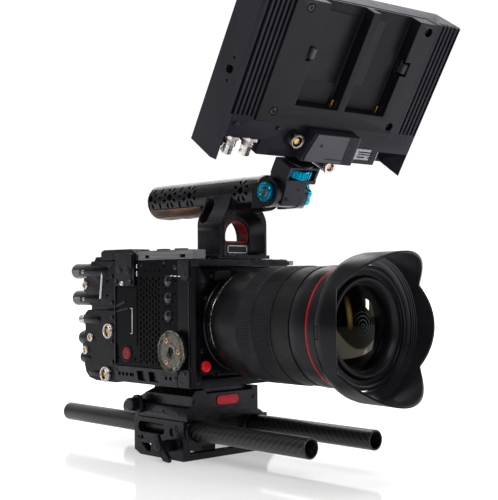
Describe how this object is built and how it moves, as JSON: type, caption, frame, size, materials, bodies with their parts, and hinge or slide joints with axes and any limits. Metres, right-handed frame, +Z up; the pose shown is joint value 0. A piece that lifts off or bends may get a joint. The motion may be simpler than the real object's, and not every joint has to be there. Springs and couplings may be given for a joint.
{
  "type": "cinema camera rig",
  "caption": "Compact box-style cinema camera with a wide zoom lens and petal hood, top handle, tilting field monitor and a baseplate on two support rods.",
  "frame": {"origin": "centre of the baseplate's underside, on the surface the rig stands on", "axes": "+Z up, lens pointing along -Y, +X towards the operator's left, the far side from the ports"},
  "size_m": [0.1915, 0.3581, 0.3471],
  "materials": {
    "anodised_black": "satin",
    "painted_black": "fine textured",
    "satin_rail": "satin",
    "monitor_grey": "satin anodised",
    "cyan_anodised": "satin anodised",
    "black_plastic": "matte",
    "lens_plastic": "fine matte",
    "ribbed_rubber": "ribbed",
    "carbon_fibre": "satin twill",
    "red_button": "gloss",
    "red_satin": "satin",
    "nickel": "satin",
    "silver": "polished",
    "steel_mount": "brushed",
    "copper_fins": "bare",
    "walnut": "oiled",
    "clear_glass": "coated",
    "circuit_board": "matte",
    "cell_case": "matte"
  },
  "bodies": {
    "base": {"base_clamp": "anodised_black", "clamp_body": "anodised_black"},
    "rod_near_body": {"rod_near": "carbon_fibre"},
    "rod_far_body": {"rod_far": "carbon_fibre"},
    "lever_near": {"rod_lever_near": "anodised_black"},
    "lever_far": {"rod_lever_far": "anodised_black"},
    "clamp_knob_body": {"clamp_knob": "anodised_black"},
    "camera": {"camera_plate": "anodised_black", "body_shell": "painted_black", "front_plate": "painted_black", "front_lip": "anodised_black", "side_panel": "painted_black", "side_rail": "anodised_black", "top_rail": "satin_rail", "top_block": "anodised_black", "touchscreen_frame": "black_plastic", "touchscreen_glass": "clear_glass", "lens_mount": "steel_mount", "image_sensor": "circuit_board", "main_board": "circuit_board", "heat_sink": "copper_fins", "battery_plate": "anodised_black", "rosette_block": "anodised_black", "rosette": "nickel", "port_module_upper": "painted_black", "port_module_lower": "painted_black", "power_port": "silver", "control_port_low": "silver", "video_out_rear": "silver", "top_handle": "anodised_black", "walnut_grip": "walnut", "eye_liner": "red_satin", "tilt_bolt": "cyan_anodised"},
    "battery_body": {"battery": "cell_case"},
    "fan": {"cooling_fan": "black_plastic"},
    "record_side": {"record_button_side": "red_satin"},
    "record_front": {"record_button_front": "red_button"},
    "lens": {"lens_barrel": "lens_plastic", "lens_front_barrel": "lens_plastic", "front_element": "clear_glass", "rear_element": "clear_glass"},
    "zoom": {"zoom_ring": "ribbed_rubber"},
    "focus": {"focus_ring": "ribbed_rubber"},
    "control": {"control_ring": "ribbed_rubber"},
    "hood": {"lens_hood": "lens_plastic"},
    "hood_release": {"hood_button": "black_plastic"},
    "arm": {"arm_body": "monitor_grey"},
    "arm_nut": {"tilt_nut": "cyan_anodised"},
    "wheel": {"swivel_wheel": "cyan_anodised"},
    "monitor": {"swivel_foot": "anodised_black", "monitor_chassis": "monitor_grey", "battery_bays": "black_plastic", "display_panel": "black_plastic", "cover_glass": "clear_glass", "monitor_board": "circuit_board", "monitor_port_left": "silver", "monitor_port_right": "silver", "monitor_control_port": "nickel"},
    "latch_left": {"battery_latch_left": "satin_rail"},
    "latch_right": {"battery_latch_right": "satin_rail"}
  },
  "joints": [
    {"name": "rod_slide_near", "type": "slide", "parent": "base", "child": "rod_near_body", "axis": [0, 1, 0], "range_m": [-0.03, 0.03]},
    {"name": "rod_slide_far", "type": "slide", "parent": "base", "child": "rod_far_body", "axis": [0, 1, 0], "range_m": [-0.03, 0.03]},
    {"name": "rod_lever_turn_near", "type": "hinge", "parent": "base", "child": "lever_near", "pos_m": [-0.044, -0.015, 0.011], "axis": [1, 0, 0], "range_deg": [-110, 0]},
    {"name": "rod_lever_turn_far", "type": "hinge", "parent": "base", "child": "lever_far", "pos_m": [0.044, -0.015, 0.011], "axis": [1, 0, 0], "range_deg": [-110, 0]},
    {"name": "clamp_knob_turn", "type": "hinge", "parent": "base", "child": "clamp_knob_body", "pos_m": [-0.043, 0.027, 0.0396], "axis": [1, 0, 0], "range_deg": [-90, 90]},
    {"name": "camera_slide", "type": "slide", "parent": "base", "child": "camera", "axis": [0, 1, 0], "range_m": [0, 0.02]},
    {"name": "battery_lift", "type": "slide", "parent": "camera", "child": "battery_body", "axis": [0, 0, 1], "range_m": [0, 0.03]},
    {"name": "fan_spin", "type": "hinge", "parent": "camera", "child": "fan", "pos_m": [0, 0.013, 0.1047], "axis": [0, 1, 0], "continuous": true},
    {"name": "record_side_press", "type": "slide", "parent": "camera", "child": "record_side", "axis": [1, 0, 0], "range_m": [0, 0.0008], "stiffness_N_per_m": 400},
    {"name": "record_front_press", "type": "slide", "parent": "camera", "child": "record_front", "axis": [0, 1, 0], "range_m": [0, 0.001], "stiffness_N_per_m": 400},
    {"name": "lens_bayonet", "type": "hinge", "parent": "camera", "child": "lens", "pos_m": [0, -0.051, 0.1047], "axis": [0, 1, 0], "range_deg": [0, 60]},
    {"name": "zoom_turn", "type": "hinge", "parent": "lens", "child": "zoom", "pos_m": [0, -0.096, 0.1047], "axis": [0, 1, 0], "range_deg": [-35, 35]},
    {"name": "focus_turn", "type": "hinge", "parent": "lens", "child": "focus", "pos_m": [0, -0.115, 0.1047], "axis": [0, 1, 0], "continuous": true},
    {"name": "control_turn", "type": "hinge", "parent": "lens", "child": "control", "pos_m": [0, -0.1335, 0.1047], "axis": [0, 1, 0], "continuous": true},
    {"name": "hood_bayonet", "type": "hinge", "parent": "lens", "child": "hood", "pos_m": [0, -0.172, 0.1047], "axis": [0, 1, 0], "range_deg": [0, 60]},
    {"name": "hood_release_press", "type": "slide", "parent": "hood", "child": "hood_release", "axis": [1, 0, 0], "range_m": [0, 0.001], "stiffness_N_per_m": 400},
    {"name": "arm_tilt", "type": "hinge", "parent": "camera", "child": "arm", "pos_m": [0, -0.0947, 0.203], "axis": [1, 0, 0], "range_deg": [-30, 35]},
    {"name": "tilt_nut_turn", "type": "hinge", "parent": "camera", "child": "arm_nut", "pos_m": [0.018, -0.0947, 0.203], "axis": [1, 0, 0], "range_deg": [-180, 180]},
    {"name": "swivel_wheel_turn", "type": "hinge", "parent": "arm", "child": "wheel", "pos_m": [0.00419, -0.09483, 0.2032], "axis": [-0.0567, -0.5379, 0.8411], "range_deg": [-180, 180]},
    {"name": "monitor_swivel", "type": "hinge", "parent": "arm", "child": "monitor", "pos_m": [0.00419, -0.09483, 0.2032], "axis": [-0.0567, -0.5379, 0.8411], "range_deg": [-55, 60]},
    {"name": "latch_left_press", "type": "slide", "parent": "monitor", "child": "latch_left", "axis": [0.9918, -0.1267, -0.0142], "range_m": [0, 0.0009], "stiffness_N_per_m": 300},
    {"name": "latch_right_press", "type": "slide", "parent": "monitor", "child": "latch_right", "axis": [0.9918, -0.1267, -0.0142], "range_m": [0, 0.0009], "stiffness_N_per_m": 300}
  ]
}
